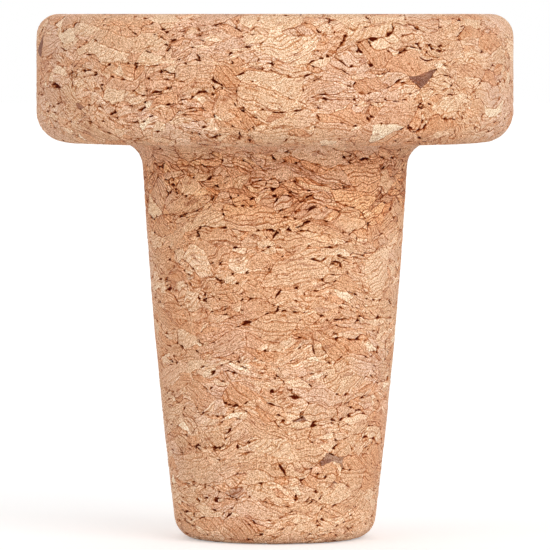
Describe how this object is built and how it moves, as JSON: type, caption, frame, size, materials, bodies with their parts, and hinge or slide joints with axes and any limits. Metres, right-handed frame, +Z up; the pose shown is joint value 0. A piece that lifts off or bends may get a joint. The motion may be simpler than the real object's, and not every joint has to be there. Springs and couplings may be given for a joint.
{
  "type": "cork stopper",
  "caption": "Round-headed cork stopper: a thick disc head on a tapered, slightly barrelled plug, pressed from coarse cork granules in one piece.",
  "frame": {"origin": "centre of the plug's small free end, in the plane that the stopper stands on", "axes": "+Z up along the stopper's axis, from the plug's free end to the head"},
  "size_m": [0.05, 0.05, 0.055],
  "materials": {
    "cork": "dry pressed cork granules, ground smooth, matte"
  },
  "bodies": {
    "root": {"stopper": "cork"}
  },
  "joints": []
}
